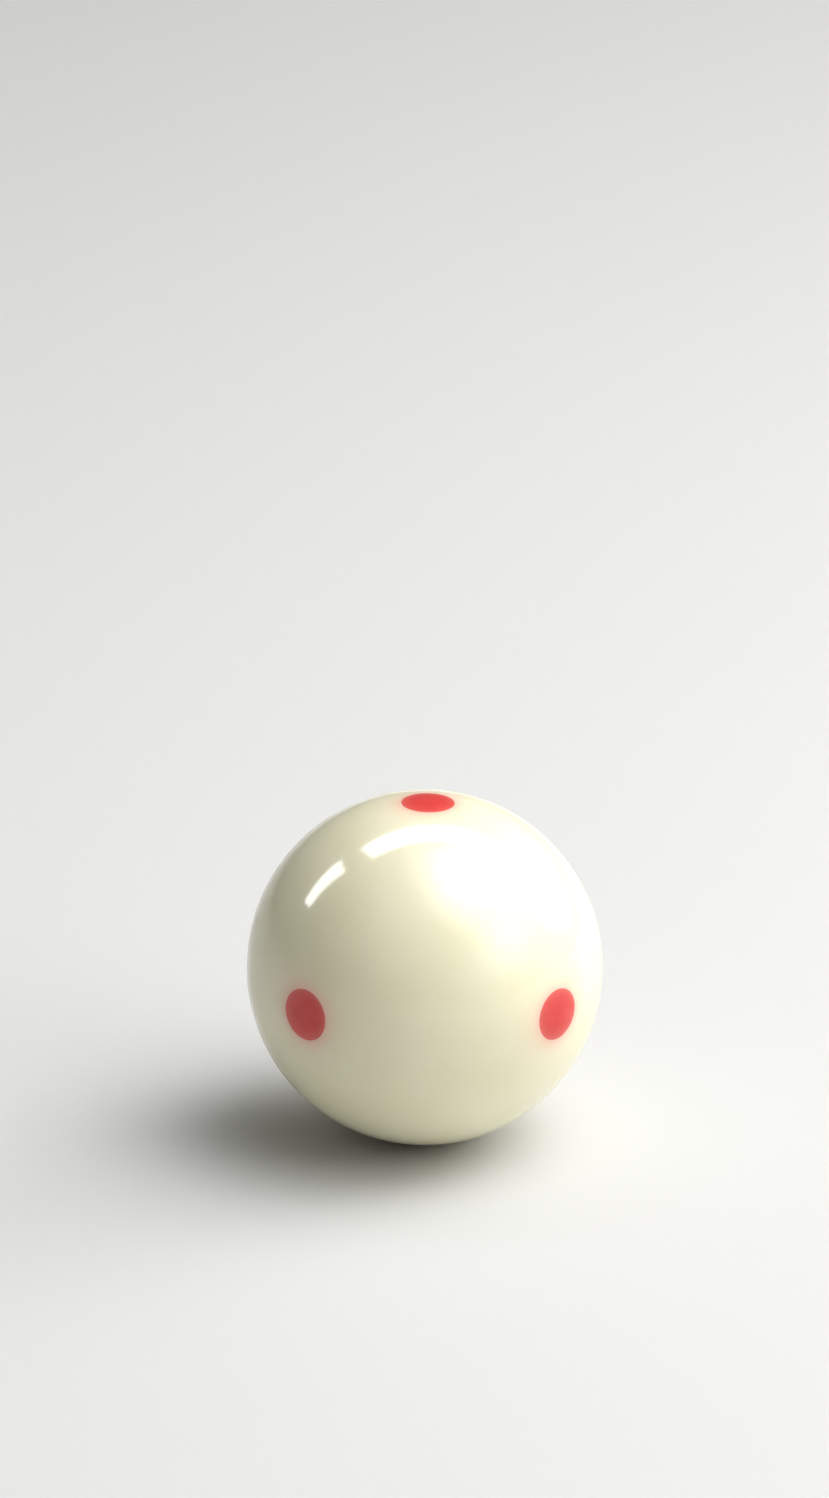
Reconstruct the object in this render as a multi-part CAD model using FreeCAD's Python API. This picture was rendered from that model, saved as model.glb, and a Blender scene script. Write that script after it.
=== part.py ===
import FreeCAD, Part
import os

# A dotted practice cue ball for pool: one solid cast-resin ball with six round red spots
# cast into pockets in its surface, one at each end of three square axes.
# Millimetres. The origin is the ball's centre, and +Z points up through the top spot.

# Driving dimensions
BALL_DIAMETER = 57.15         # regulation pool ball, 2 1/4 in
SPOT_DIAMETER = 8.5           # across the visible red disc
SPOT_DEPTH = 4.0              # from the crown of the spot down to the pocket's floor
POCKET_FLOOR_RADIUS = 0.8     # round between the pocket's wall and its floor, left by the cutter
SEAM_TURN = 45.0              # degrees about Z, so that the sphere's seam runs between the spots

# Derived dimensions
BALL_RADIUS = BALL_DIAMETER / 2
SPOT_RADIUS = SPOT_DIAMETER / 2
POCKET_FLOOR = BALL_RADIUS - SPOT_DEPTH
CUTTER_LENGTH = 2 * SPOT_DEPTH

CENTRE = FreeCAD.Vector(0, 0, 0)
UP = FreeCAD.Vector(0, 0, 1)

SPOT_DIRECTIONS = {
    "spot_top": FreeCAD.Vector(0, 0, 1),
    "spot_bottom": FreeCAD.Vector(0, 0, -1),
    "spot_front": FreeCAD.Vector(0, -1, 0),
    "spot_rear": FreeCAD.Vector(0, 1, 0),
    "spot_left": FreeCAD.Vector(-1, 0, 0),
    "spot_right": FreeCAD.Vector(1, 0, 0),
}


def make_sphere():
    """The whole ball, before any pocket is cut."""
    sphere = Part.makeSphere(BALL_RADIUS)
    sphere.rotate(CENTRE, UP, SEAM_TURN)
    return sphere


def make_pocket_tool():
    """What the flat-ended cutter sweeps at the top of the ball, with its rounded lower corner."""
    floor_centre = FreeCAD.Vector(0, 0, POCKET_FLOOR)
    tool = Part.makeCylinder(SPOT_RADIUS, CUTTER_LENGTH, floor_centre, UP)
    floor_edges = [edge for edge in tool.Edges if edge.BoundBox.ZMax < POCKET_FLOOR + POCKET_FLOOR_RADIUS]
    return tool.makeFillet(POCKET_FLOOR_RADIUS, floor_edges)


def point_along(shape, direction):
    """A copy of a shape made about +Z, turned to point along another direction."""
    turned = shape.copy()
    turned.Placement = FreeCAD.Placement(CENTRE, FreeCAD.Rotation(UP, direction))
    return turned


def make_spot():
    """One red spot: it fills its pocket, and its crown is flush with the ball's surface."""
    return make_sphere().common(make_pocket_tool()).removeSplitter()


def make_ball_body():
    """The cream ball with its six pockets."""
    body = make_sphere()
    tool = make_pocket_tool()
    for direction in SPOT_DIRECTIONS.values():
        body = body.cut(point_along(tool, direction))
    return body


def export_piece(name, shape):
    """Writes one piece as its own STEP file, after making sure that it is one sound solid."""
    if len(shape.Solids) != 1 or not shape.isValid():
        raise ValueError(name + " isn't one valid solid")
    shape.Solids[0].exportStep("parts/" + name + ".step")
    print(name, "volume", round(shape.Volume, 2), "mm3")


def main():
    os.makedirs("parts", exist_ok=True)
    export_piece("ball_body", make_ball_body())
    spot = make_spot()
    for name, direction in SPOT_DIRECTIONS.items():
        export_piece(name, point_along(spot, direction))


main()
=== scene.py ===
import math

import bmesh
import bpy
from mathutils import Matrix, Vector


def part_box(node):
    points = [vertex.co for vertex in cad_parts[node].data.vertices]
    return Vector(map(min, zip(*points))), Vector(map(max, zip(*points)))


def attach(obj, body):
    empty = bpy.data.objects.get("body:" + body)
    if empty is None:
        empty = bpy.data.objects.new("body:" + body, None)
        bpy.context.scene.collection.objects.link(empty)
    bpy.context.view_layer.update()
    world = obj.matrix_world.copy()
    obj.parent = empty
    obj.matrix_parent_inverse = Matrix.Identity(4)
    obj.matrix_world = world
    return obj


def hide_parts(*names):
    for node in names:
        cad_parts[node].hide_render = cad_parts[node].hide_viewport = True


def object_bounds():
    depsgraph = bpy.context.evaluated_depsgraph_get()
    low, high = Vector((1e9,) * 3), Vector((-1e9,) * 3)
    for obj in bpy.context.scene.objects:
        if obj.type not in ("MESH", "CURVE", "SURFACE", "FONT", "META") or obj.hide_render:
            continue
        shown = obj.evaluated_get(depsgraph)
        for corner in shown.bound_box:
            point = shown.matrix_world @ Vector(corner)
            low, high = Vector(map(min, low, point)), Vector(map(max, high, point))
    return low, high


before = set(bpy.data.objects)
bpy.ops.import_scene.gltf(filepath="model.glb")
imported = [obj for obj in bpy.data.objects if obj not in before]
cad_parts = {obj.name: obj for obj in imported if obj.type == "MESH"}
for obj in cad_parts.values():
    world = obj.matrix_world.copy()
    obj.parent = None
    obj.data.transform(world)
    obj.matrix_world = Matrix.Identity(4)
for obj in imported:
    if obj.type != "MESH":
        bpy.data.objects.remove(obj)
CAD_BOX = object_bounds()

# A cue ball with six red spots, on a pale floor in soft light. Lengths are in metres. Settings named
# AZIMUTH, ELEVATION or ROLL are in degrees, and TURNS in radians.

# ---------------------------------------------------------------- sizes, from the frame
MM = 0.001
BODY = "root"
SPOTS = sorted(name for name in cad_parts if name.startswith("spot_"))

BALL_RADIUS = (CAD_BOX[1].z - CAD_BOX[0].z) / 2
SPOT_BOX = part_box("spot_top")
SPOT_RADIUS = (SPOT_BOX[1].x - SPOT_BOX[0].x) / 2
SPOT_DEPTH = SPOT_BOX[1].z - SPOT_BOX[0].z
POCKET_FLOOR = BALL_RADIUS - SPOT_DEPTH
POCKET_ROUND = 0.8 * MM             # round between a pocket's wall and its floor
RIM_POLAR = math.asin(SPOT_RADIUS / BALL_RADIUS)
RIM_HEIGHT = BALL_RADIUS * math.cos(RIM_POLAR)

# ---------------------------------------------------------------- mesh density
SIDE = 32                           # segments along one side of a patch, a quarter of its rim
AROUND = 4 * SIDE                   # segments round a spot
RINGS = 20                          # rings of faces from a spot's rim to its patch's edge
RIM_RING = 0.05 * MM                # width of the first ring beside the rim, which keeps its shading true
CROWN_RINGS = 6
ROUND_RINGS = 6
WALL_RINGS = 4
CORE_SHARE = 0.55                   # how much of a disc's radius its middle grid takes
CORE_SQUARE = 0.8                   # how square the middle of that grid is
MERGE_DISTANCE = 0.001 * MM         # vertices nearer than this, where patches meet, become one
QUARTER_TURN = math.radians(90)
EIGHTH_TURN = math.radians(45)

# ---------------------------------------------------------------- how noise is drawn
CLOUD_DETAIL = 3.0                  # levels of ever finer noise in clouds and haze
GRAIN_DETAIL = 1.0                  # and in grain and hairlines
CLOUD_RANGE = (0.35, 0.65)          # the part of the noise's range that a resin's clouds spread over
GRAIN_RANGE = (0.3, 0.7)            # and the part that grain, haze and the floor's clouds do

# ---------------------------------------------------------------- polish of both resins
RESIN_IOR = 1.52
HAZE_SIZE = 6 * MM
HAZE_DEPTH = 0.012                  # how far the haze moves the roughness, up and down
HAIRLINE_SIZE = 0.45 * MM
HAIRLINE_STRETCH = (1.0, 1.0, 0.03)
HAIRLINE_TURNS = ((0.3, 0.5, 0.2), (1.4, 0.9, 2.1), (2.3, 2.6, 1.2))
HAIRLINE_LOW = 0.70                 # noise below this has no hairline
HAIRLINE_HIGH = 0.80                # and above this, a full one
HAIRLINE_ROUGHNESS = 0.05
HAIRLINE_DEPTH = 0.0008 * MM

# ---------------------------------------------------------------- resin colours
CREAM_ROUGH = 0.11
CREAM_PALE = (0.885, 0.848, 0.618, 1)
CREAM_DEEP = (0.860, 0.818, 0.572, 1)
CREAM_CLOUD = 11 * MM
CREAM_GRAIN = 0.5 * MM
CREAM_GRAIN_SHARE = 0.2             # how far the grain moves the blend of the two creams, either way
PAINTED_RED_GLOW = (0.875, 0.535, 0.415, 1)    # painted glow: cream tinted pink as if red light from the spot beside it scattered into it
PAINTED_RED_GLOW_LENGTH = 1.45 * MM

RED_ROUGH = 0.11
RED_CLEAR = (0.700, 0.052, 0.044, 1)
RED_DEEP = (0.640, 0.038, 0.035, 1)
RED_CLOUD = 2.5 * MM
PAINTED_CREAM_GLOW_ON_RED = (0.750, 0.130, 0.105, 1)  # painted glow: red paled as if light from the cream beside it scattered into it
PAINTED_CREAM_GLOW_LENGTH = 0.7 * MM
RED_EDGE = (0.480, 0.045, 0.040, 1)
RED_EDGE_WIDTH = 0.10 * MM

# ---------------------------------------------------------------- studio
FLOOR_COLOUR = (0.58, 0.58, 0.57, 1)
FLOOR_DARKER = 0.985                # what the floor's clouds multiply its colour by
FLOOR_CLOUD = 0.4
FLOOR_DETAIL = 2.0
FLOOR_ROUGH = 0.75
FLOOR_RADIUS = 2.2
COVE_RADIUS = 0.8                   # of the curve from the floor up to the wall
COVE_AROUND = 96
COVE_STEPS = 12                     # rings in the floor, and again in the curve
WALL_TOP = 1.6
WALL_GLOW = 0.68                    # light of the wall's own, seen by the camera only: low views stay pale
GLOW_START = 0.7                    # how far from the ball's centre the glow starts
GLOW_FULL = 1.9                     # and where it is as strong as on the wall
WORLD_COLOUR = (1.0, 1.0, 1.0, 1)
WORLD_BRIGHTNESS = 0.15

# ---------------------------------------------------------------- view
IMAGE_WIDTH = 829
IMAGE_HEIGHT = 1498
SENSOR = 36.0                       # millimetres, along the image's height
CLIP_START = 0.05
CLIP_END = 20
VIEW_AZIMUTH = 41.5
VIEW_ELEVATION = 22.0
VIEW_ROLL = 1.2
VIEW_DISTANCE = 1.5
BALL_SHARE = 0.4294                 # the ball's diameter, as a share of the image's width
BALL_RIGHT = 0.0122                 # from the image's middle, as a share of its width
BALL_LOW = 0.1456                   # from the image's middle, as a share of its height

# ---------------------------------------------------------------- lamps
ELLIPSE_FILL = math.pi / 4          # how much of its box an ellipse fills

# Feathered panels: degrees to the camera's right, degrees of elevation, distance, width, height, brightness
SOFTBOXES = {
    "overhead": (80, 60, 1.3, 2.4, 2.4, 3.5),
    "side": (100, 60, 1.3, 1.6, 1.6, 3.9),
    "low_front": (60, 25, 1.4, 1.3, 1.2, 3.5),
    "low_rear": (120, 25, 1.4, 1.3, 1.2, 6.8),
}

# Panels that only show in reflections: where the two ends are, along the camera's right, up and back,
# then width, brightness, and whether the panel is feathered
REFLECTIONS = {
    "long_bar": ((-0.51, 1.0, 0.01), (0.67, 1.0, -0.235), 0.26, 12, False),
    "short_bar": ((-1.88, 1.0, -0.21), (-0.81, 1.0, -0.05), 0.26, 12, False),
    "sheen": ((-0.31, 1.81, -0.03), (0.94, 0.32, 1.38), 1.1, 3.6, True),
}


# ---------------------------------------------------------------- points of the ball
def tangents(direction):
    """Two directions that make a right-handed set with the one given."""
    side = Vector((1, 0, 0)) if abs(direction.x) < 0.5 else Vector((0, 1, 0))
    second = direction.cross(side).normalized()
    first = second.cross(direction)
    return first, second


def rim_azimuths():
    """The turn, about a spot's axis, of each vertex round it, starting at a corner of its patch."""
    return [math.tau * k / AROUND - EIGHTH_TURN for k in range(AROUND)]


def patch_edge(azimuth):
    """The angle from a spot's axis out to its patch's edge, where it meets the next patch."""
    from_side = (azimuth + EIGHTH_TURN) % QUARTER_TURN - EIGHTH_TURN
    return math.atan(1 / math.cos(from_side))


def on_sphere(polar, azimuth):
    return Vector((
        BALL_RADIUS * math.sin(polar) * math.cos(azimuth),
        BALL_RADIUS * math.sin(polar) * math.sin(azimuth),
        BALL_RADIUS * math.cos(polar),
    ))


def crown_height(radius):
    """The height of the ball's surface at a distance from the axis."""
    return math.sqrt(BALL_RADIUS ** 2 - radius ** 2)


def floor_height(radius):
    """A pocket's floor is flat, so its height is the same at any distance from the axis."""
    return POCKET_FLOOR


def ring(radius, height):
    return [Vector((radius * math.cos(a), radius * math.sin(a), height)) for a in rim_azimuths()]


def skin_rings():
    """Rings of points from a spot's rim out to its patch's edge, on the ball's surface."""
    first = RIM_POLAR + RIM_RING / BALL_RADIUS
    rings = [[on_sphere(RIM_POLAR, a) for a in rim_azimuths()]]
    for step in range(RINGS + 1):
        share = step / RINGS
        rings.append([on_sphere(first + (patch_edge(a) - first) * share, a) for a in rim_azimuths()])
    return rings


def well_rings():
    """Rings down a pocket's wall and round its lower corner, from the rim to the flat floor."""
    top = RIM_HEIGHT
    bottom = POCKET_FLOOR + POCKET_ROUND
    rings = [ring(SPOT_RADIUS, top + (bottom - top) * step / WALL_RINGS) for step in range(WALL_RINGS + 1)]
    for step in range(1, ROUND_RINGS + 1):
        turn = QUARTER_TURN * step / ROUND_RINGS
        radius = SPOT_RADIUS - POCKET_ROUND * (1 - math.cos(turn))
        rings.append(ring(radius, bottom - POCKET_ROUND * math.sin(turn)))
    return rings


def crown_rings():
    """Rings of a spot's crown, from its rim in to the middle grid."""
    core = SPOT_RADIUS * CORE_SHARE
    first = SPOT_RADIUS - RIM_RING
    radii = [SPOT_RADIUS] + [first + (core - first) * step / CROWN_RINGS for step in range(CROWN_RINGS + 1)]
    return [ring(radius, crown_height(radius)) for radius in radii]


def core_point(i, j, radius, height_at):
    """A point of the square grid that fills the middle of a disc, eased into the round ring about it."""
    a = math.tan(QUARTER_TURN * (i / SIDE - 0.5))
    b = math.tan(QUARTER_TURN * (j / SIDE - 0.5))
    reach = max(abs(a), abs(b))
    if reach == 0:
        return Vector((0, 0, height_at(0)))
    round_off = reach / math.hypot(a, b)
    scale = radius * (CORE_SQUARE * (1 - reach ** 2) + round_off * reach ** 2)
    x = a * scale
    y = b * scale
    return Vector((x, y, height_at(math.hypot(x, y))))


# ---------------------------------------------------------------- pieces
def add_mesh_object(name, bm):
    mesh = bpy.data.meshes.new(name)
    bm.to_mesh(mesh)
    bm.free()
    made = bpy.data.objects.new(name, mesh)
    bpy.context.scene.collection.objects.link(made)
    return made


class Shell:
    """Collects rings of points about one axis as a mesh, and turns them to face any direction."""

    def __init__(self, name):
        self.name = name
        self.bm = bmesh.new()
        self.turn = Matrix.Identity(3)

    def face_along(self, direction):
        first, second = tangents(direction)
        self.turn = Matrix((first, second, direction)).transposed()

    def add_rings(self, rings):
        return [[self.bm.verts.new(self.turn @ point) for point in points] for points in rings]

    def bridge(self, inner, outer):
        """Quads between two rings, facing up where the second ring is the wider one."""
        for k in range(AROUND):
            n = (k + 1) % AROUND
            self.bm.faces.new((inner[k], outer[k], outer[n], inner[n]))

    def bridge_outward(self, rings):
        for inner, outer in zip(rings, rings[1:]):
            self.bridge(inner, outer)

    def bridge_inward(self, rings):
        for outer, inner in zip(rings, rings[1:]):
            self.bridge(inner, outer)

    def fill_core(self, border, height_at, facing_up):
        """Fills a ring of vertices with a square grid of quads."""
        radius = (self.turn.transposed() @ border[0].co).xy.length
        grid = {}
        for k, vert in enumerate(border):
            side, step = divmod(k, SIDE)
            corner = ((SIDE, step), (SIDE - step, SIDE), (0, SIDE - step), (step, 0))[side]
            grid[corner] = vert
        for i in range(SIDE + 1):
            for j in range(SIDE + 1):
                if (i, j) not in grid:
                    grid[i, j] = self.bm.verts.new(self.turn @ core_point(i, j, radius, height_at))
        for i in range(SIDE):
            for j in range(SIDE):
                quad = (grid[i, j], grid[i + 1, j], grid[i + 1, j + 1], grid[i, j + 1])
                self.bm.faces.new(quad if facing_up else quad[::-1])

    def finish(self, sharp_rings):
        """Shades the mesh smooth but for its sharp rings, joins its patches and adds it to the scene."""
        sharp = set()
        for verts in sharp_rings:
            for k in range(AROUND):
                sharp.add(frozenset((verts[k], verts[(k + 1) % AROUND])))
        for edge in self.bm.edges:
            edge.smooth = frozenset(edge.verts) not in sharp
        for face in self.bm.faces:
            face.smooth = True
        bmesh.ops.remove_doubles(self.bm, verts=self.bm.verts, dist=MERGE_DISTANCE)
        return add_mesh_object(self.name, self.bm)


def spot_direction(name):
    """The axis of the frame that a spot's middle lies on."""
    low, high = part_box(name)
    return Vector([round(c) for c in ((low + high) / 2).normalized()])


def make_ball_body():
    """The ball's skin in six patches, with a pocket in the middle of each."""
    shell = Shell("resin_ball")
    rims = []
    for name in SPOTS:
        shell.face_along(spot_direction(name))
        skin = shell.add_rings(skin_rings())
        shell.bridge_outward(skin)
        well = [skin[0]] + shell.add_rings(well_rings()[1:])
        shell.bridge_inward(well)
        shell.fill_core(well[-1], floor_height, True)
        rims.append(skin[0])
    return shell.finish(rims)


def make_spot(name):
    """A spot that fills its pocket: a flush crown, a wall, a rounded corner and a flat base."""
    shell = Shell(name + "_inlay")
    shell.face_along(spot_direction(name))
    crown = shell.add_rings(crown_rings())
    shell.bridge_inward(crown)
    shell.fill_core(crown[-1], crown_height, True)
    well = [crown[0]] + shell.add_rings(well_rings()[1:])
    shell.bridge_outward(well)
    shell.fill_core(well[-1], floor_height, False)
    return shell.finish([crown[0]])


# ---------------------------------------------------------------- nodes
MIX_SHARE, MIX_FIRST, MIX_SECOND, MIX_RESULT = 0, 6, 7, 2     # a colour mix node's sockets


class Nodes:
    """Short ways to add nodes to a tree."""

    def __init__(self, tree):
        self.tree = tree
        self.place = self.add("ShaderNodeTexCoord").outputs["Object"]

    def add(self, kind, inputs=(), **settings):
        node = self.tree.nodes.new(kind)
        for key, value in settings.items():
            setattr(node, key, value)
        for key, value in dict(inputs).items():
            if isinstance(value, bpy.types.NodeSocket):
                self.tree.links.new(value, node.inputs[key])
            else:
                node.inputs[key].default_value = value
        return node

    def math(self, operation, first, second=0.0):
        return self.add("ShaderNodeMath", {0: first, 1: second}, operation=operation).outputs[0]

    def vector_math(self, operation, first, second=(0, 0, 0)):
        return self.add("ShaderNodeVectorMath", {0: first, 1: second}, operation=operation).outputs


class Painter(Nodes):
    """A material, and short ways to paint it."""

    def __init__(self, name):
        self.material = bpy.data.materials.new(name)
        self.material.use_nodes = True
        super().__init__(self.material.node_tree)
        self.shader = self.tree.nodes["Principled BSDF"]

    def noise(self, size, detail, place=None):
        """Soft noise from 0 to 1, with lumps about as large as size."""
        inputs = {"Vector": place or self.place, "Scale": 1 / size, "Detail": detail}
        return self.add("ShaderNodeTexNoise", inputs).outputs["Fac"]

    def remap(self, value, low, high, to_low, to_high):
        inputs = {"Value": value, "From Min": low, "From Max": high, "To Min": to_low, "To Max": to_high}
        return self.add("ShaderNodeMapRange", inputs).outputs["Result"]

    def blend(self, share, first, second):
        """The first colour where share is 0, and the second where it is 1."""
        inputs = {MIX_SHARE: share, MIX_FIRST: first, MIX_SECOND: second}
        return self.add("ShaderNodeMix", inputs, data_type="RGBA").outputs[MIX_RESULT]

    def fade(self, distance, length):
        """1 where a distance is nothing, and falling away smoothly over a length."""
        near = self.math("MAXIMUM", distance, 0.0)
        return self.math("EXPONENT", self.math("MULTIPLY", near, -1 / length))

    def finish(self, **linked):
        for socket, value in linked.items():
            self.tree.links.new(value, self.shader.inputs[socket.replace("_", " ")])
        return self.material


# ---------------------------------------------------------------- materials
def spot_distance(paint):
    """How far each point lies from the nearest spot's axis."""
    sizes = paint.vector_math("ABSOLUTE", paint.place)["Vector"]
    parts = paint.add("ShaderNodeSeparateXYZ", {0: sizes}).outputs
    along = paint.math("MAXIMUM", paint.math("MAXIMUM", parts["X"], parts["Y"]), parts["Z"])
    reach = paint.vector_math("DOT_PRODUCT", paint.place, paint.place)["Value"]
    across = paint.math("SUBTRACT", reach, paint.math("MULTIPLY", along, along))
    return paint.math("SQRT", paint.math("MAXIMUM", across, 0.0))


def polish(paint, rough):
    """Roughness and relief of polished resin: faint haze, and hairlines from the polishing wheel."""
    haze = paint.remap(paint.noise(HAZE_SIZE, CLOUD_DETAIL), *GRAIN_RANGE, -HAZE_DEPTH, HAZE_DEPTH)
    hairlines = None
    for turn in HAIRLINE_TURNS:
        inputs = {"Vector": paint.place, "Rotation": turn, "Scale": HAIRLINE_STRETCH}
        drawn = paint.add("ShaderNodeMapping", inputs).outputs["Vector"]
        noise = paint.noise(HAIRLINE_SIZE, GRAIN_DETAIL, drawn)
        line = paint.remap(noise, HAIRLINE_LOW, HAIRLINE_HIGH, 0.0, 1.0)
        hairlines = line if hairlines is None else paint.math("MAXIMUM", hairlines, line)
    lined = paint.math("MULTIPLY", hairlines, HAIRLINE_ROUGHNESS)
    roughness = paint.math("ADD", paint.math("ADD", haze, lined), rough)
    inputs = {"Strength": 1.0, "Distance": HAIRLINE_DEPTH, "Height": hairlines}
    relief = paint.add("ShaderNodeBump", inputs, invert=True).outputs["Normal"]
    return roughness, relief


def finish_resin(paint, colour, rough):
    roughness, relief = polish(paint, rough)
    paint.shader.inputs["IOR"].default_value = RESIN_IOR
    return paint.finish(Base_Color=colour, Roughness=roughness, Normal=relief)


def cream_resin():
    """Two creams in soft clouds with a fine grain, and a painted glow of red light round each spot."""
    paint = Painter("cream_resin")
    clouds = paint.remap(paint.noise(CREAM_CLOUD, CLOUD_DETAIL), *CLOUD_RANGE, 0.0, 1.0)
    noise = paint.noise(CREAM_GRAIN, GRAIN_DETAIL)
    grain = paint.remap(noise, *GRAIN_RANGE, -CREAM_GRAIN_SHARE, CREAM_GRAIN_SHARE)
    colour = paint.blend(paint.math("ADD", clouds, grain), CREAM_PALE, CREAM_DEEP)
    outside = paint.math("SUBTRACT", spot_distance(paint), SPOT_RADIUS)
    # painted glow: a pink tint fading away from each spot's rim, standing in for red light scattered into
    # the cream
    colour = paint.blend(paint.fade(outside, PAINTED_RED_GLOW_LENGTH), colour, PAINTED_RED_GLOW)
    return finish_resin(paint, colour, CREAM_ROUGH)


def red_resin():
    """Two reds in small clouds, with a painted glow that pales them towards the rim, and a thin dark line
    at the rim itself.
    """
    paint = Painter("red_resin")
    clouds = paint.remap(paint.noise(RED_CLOUD, CLOUD_DETAIL), *CLOUD_RANGE, 0.0, 1.0)
    colour = paint.blend(clouds, RED_CLEAR, RED_DEEP)
    inside = paint.math("SUBTRACT", SPOT_RADIUS, spot_distance(paint))
    # painted glow: a paler red towards the rim, standing in for light from the cream scattered into the red
    colour = paint.blend(paint.fade(inside, PAINTED_CREAM_GLOW_LENGTH), colour, PAINTED_CREAM_GLOW_ON_RED)
    edge = paint.remap(inside, 0.0, RED_EDGE_WIDTH, 1.0, 0.0)
    colour = paint.blend(edge, colour, RED_EDGE)
    return finish_resin(paint, colour, RED_ROUGH)


def matte_floor():
    """A pale floor with faint clouds, whose far part and wall glow for the camera only."""
    paint = Painter("studio_floor")
    clouds = paint.remap(paint.noise(FLOOR_CLOUD, FLOOR_DETAIL), *GRAIN_RANGE, 0.0, 1.0)
    darker = tuple(c * FLOOR_DARKER for c in FLOOR_COLOUR[:3]) + (1,)
    paint.shader.inputs["Roughness"].default_value = FLOOR_ROUGH
    reach = paint.vector_math("LENGTH", paint.place)["Value"]
    to_camera = paint.add("ShaderNodeLightPath").outputs["Is Camera Ray"]
    glow = paint.math("MULTIPLY", paint.remap(reach, GLOW_START, GLOW_FULL, 0.0, WALL_GLOW), to_camera)
    return paint.finish(Base_Color=paint.blend(clouds, FLOOR_COLOUR, darker), Emission_Strength=glow)


# ---------------------------------------------------------------- studio
def cove_profile():
    """Radius and height of each ring of the floor, of the curve up from it, and of the wall's top."""
    profile = [(FLOOR_RADIUS * (step / COVE_STEPS) ** 2, 0.0) for step in range(1, COVE_STEPS + 1)]
    for step in range(1, COVE_STEPS + 1):
        turn = QUARTER_TURN * step / COVE_STEPS
        profile.append((FLOOR_RADIUS + COVE_RADIUS * math.sin(turn), COVE_RADIUS * (1 - math.cos(turn))))
    profile.append((FLOOR_RADIUS + COVE_RADIUS, WALL_TOP))
    return profile


def make_studio():
    """A round floor under the ball, which curves up into a wall so that no edge shows behind the ball."""
    bm = bmesh.new()
    centre = bm.verts.new((0, 0, -BALL_RADIUS))
    turns = [math.tau * k / COVE_AROUND for k in range(COVE_AROUND)]
    rings = []
    for radius, height in cove_profile():
        level = height - BALL_RADIUS
        rings.append([bm.verts.new((radius * math.cos(a), radius * math.sin(a), level)) for a in turns])
    for k in range(COVE_AROUND):
        n = (k + 1) % COVE_AROUND
        bm.faces.new((centre, rings[0][k], rings[0][n]))
        for inner, outer in zip(rings, rings[1:]):
            bm.faces.new((inner[k], outer[k], outer[n], inner[n]))
    for face in bm.faces:
        face.smooth = True
    cove = add_mesh_object("studio_cove", bm)
    cove.data.materials.append(matte_floor())


def make_world():
    world = bpy.data.worlds.new("studio_air")
    world.use_nodes = True
    background = world.node_tree.nodes["Background"]
    background.inputs["Color"].default_value = WORLD_COLOUR
    background.inputs["Strength"].default_value = WORLD_BRIGHTNESS
    bpy.context.scene.world = world


# ---------------------------------------------------------------- camera
def level_direction(azimuth):
    """The level direction to the right of a camera at this azimuth, in degrees."""
    turn = math.radians(azimuth)
    return Vector((math.cos(turn), math.sin(turn), 0))


def outward_direction(azimuth, elevation):
    """The direction from the ball to this azimuth and elevation, in degrees."""
    turn = math.radians(azimuth)
    rise = math.radians(elevation)
    direction = Vector((math.sin(turn), -math.cos(turn), 0)) * math.cos(rise)
    direction.z = math.sin(rise)
    return direction


def view_axes():
    """The camera's right, up and back directions, when it faces the ball's centre."""
    roll = math.radians(VIEW_ROLL)
    level = level_direction(VIEW_AZIMUTH)
    back = outward_direction(VIEW_AZIMUTH, VIEW_ELEVATION)
    upright = back.cross(level)
    right = level * math.cos(roll) + upright * math.sin(roll)
    up = upright * math.cos(roll) - level * math.sin(roll)
    return right, up, back


def make_camera():
    """A camera that sees the ball as large, and as far from the image's middle, as the photograph does."""
    right, up, back = view_axes()
    facing = Matrix((right, up, back)).transposed()
    ball_pixels = BALL_SHARE * IMAGE_WIDTH / 2
    focal_pixels = ball_pixels / math.tan(math.asin(BALL_RADIUS / VIEW_DISTANCE))
    tilt = math.atan(BALL_LOW * IMAGE_HEIGHT / focal_pixels)
    swing = math.atan(BALL_RIGHT * IMAGE_WIDTH / focal_pixels)
    aim = facing @ Matrix.Rotation(tilt, 3, "X") @ Matrix.Rotation(swing, 3, "Y")
    data = bpy.data.cameras.new("camera")
    data.sensor_width = SENSOR
    data.lens = SENSOR * focal_pixels / IMAGE_HEIGHT
    data.clip_start = CLIP_START
    data.clip_end = CLIP_END
    camera = bpy.data.objects.new("camera", data)
    camera.matrix_world = Matrix.Translation(back * VIEW_DISTANCE) @ aim.to_4x4()
    bpy.context.scene.collection.objects.link(camera)
    bpy.context.scene.camera = camera


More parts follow.
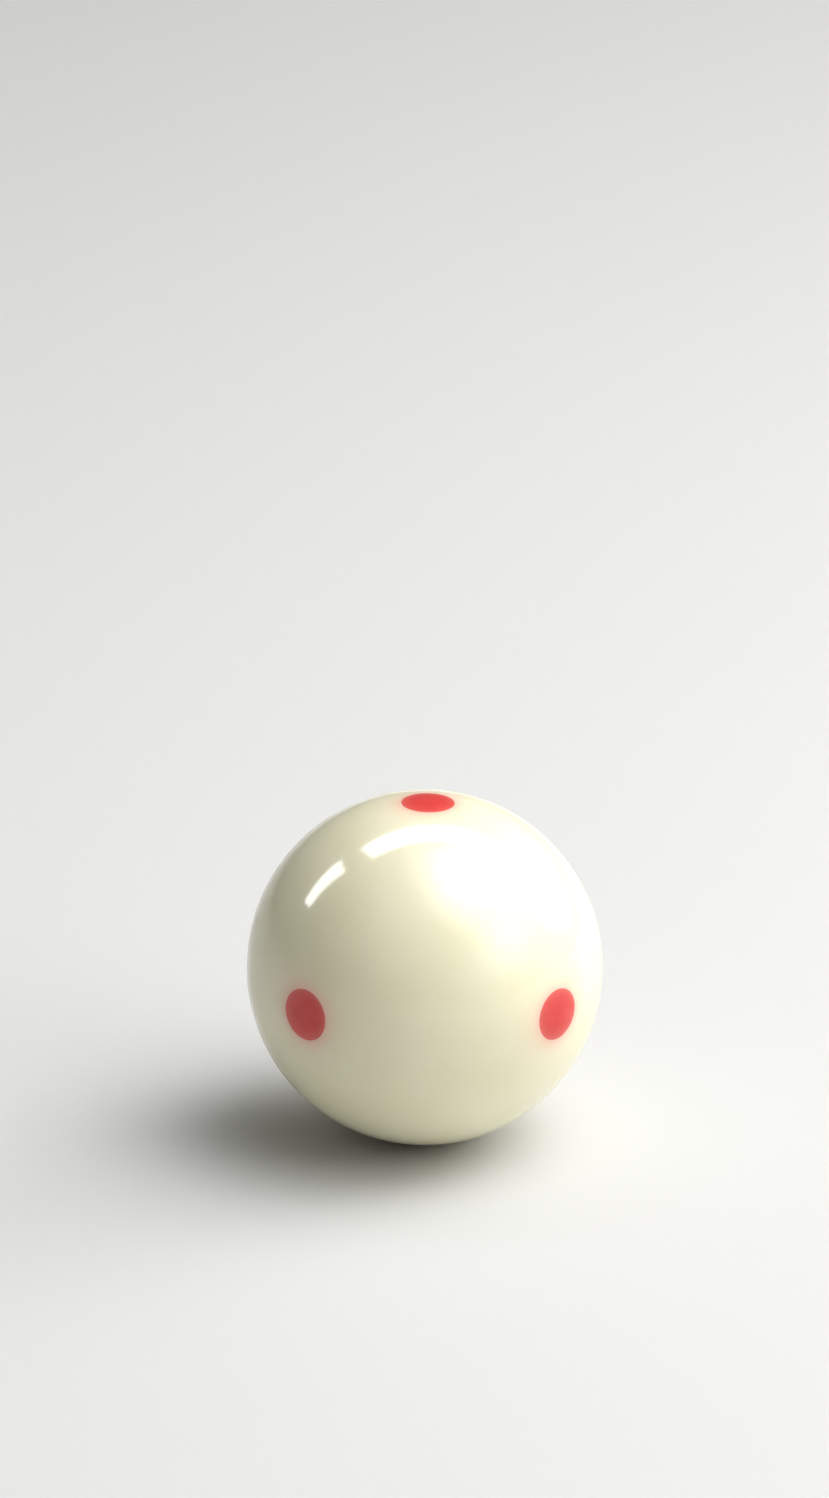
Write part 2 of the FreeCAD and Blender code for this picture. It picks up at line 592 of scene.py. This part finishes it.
# ---------------------------------------------------------------- lamps
def feather(data, width, height):
    """Makes a panel of light fade smoothly from its middle to nothing at its edges, like a diffuser."""
    data.use_nodes = True
    nodes = Nodes(data.node_tree)
    scaled = nodes.vector_math("MULTIPLY", nodes.place, (2 / width, 2 / height, 0))["Vector"]
    square = nodes.vector_math("DOT_PRODUCT", scaled, scaled)["Value"]
    left = nodes.math("MAXIMUM", nodes.math("SUBTRACT", 1.0, square), 0.0)
    bell = nodes.math("MULTIPLY", left, left)
    nodes.tree.links.new(bell, nodes.tree.nodes["Emission"].inputs["Strength"])


def hang_panel(name, centre, along, width, height, brightness, feathered):
    """A panel of light that turns its face to the ball, with its width along a given direction."""
    data = bpy.data.lights.new(name, "AREA")
    data.shape = "ELLIPSE" if feathered else "RECTANGLE"
    data.size = width
    data.size_y = height
    data.energy = brightness * math.pi * width * height * (ELLIPSE_FILL if feathered else 1)
    lamp = bpy.data.objects.new(name, data)
    away = (centre - along * centre.dot(along)).normalized()
    turned = Matrix((along, away.cross(along), away)).transposed()
    lamp.matrix_world = Matrix.Translation(centre) @ turned.to_4x4()
    lamp.visible_camera = False
    bpy.context.scene.collection.objects.link(lamp)
    if feathered:
        feather(data, width, height)
    return lamp


def make_softbox(name, swing, elevation, distance, width, height, brightness):
    azimuth = VIEW_AZIMUTH + swing
    centre = outward_direction(azimuth, elevation) * distance
    hang_panel(name, centre, level_direction(azimuth), width, height, brightness, True)


def from_camera_axes(place):
    """The point that lies this far along the camera's right, up and back directions."""
    return sum((axis * share for axis, share in zip(view_axes(), place)), Vector())


def make_reflection(name, start, end, width, brightness, feathered):
    first = from_camera_axes(start)
    last = from_camera_axes(end)
    length = (last - first).length
    along = (last - first) / length
    lamp = hang_panel(name, (first + last) / 2, along, length, width, brightness, feathered)
    lamp.visible_diffuse = False


# ---------------------------------------------------------------- assembly
def add_piece(piece, node, material):
    piece.data.materials.append(material)
    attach(piece, BODY)
    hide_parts(node)


add_piece(make_ball_body(), "ball_body", cream_resin())
RED = red_resin()
for spot in SPOTS:
    add_piece(make_spot(spot), spot, RED)

make_studio()
make_world()
make_camera()
for name, settings in SOFTBOXES.items():
    make_softbox(name, *settings)
for name, settings in REFLECTIONS.items():
    make_reflection(name, *settings)
bpy.context.scene.view_settings.view_transform = "Standard"
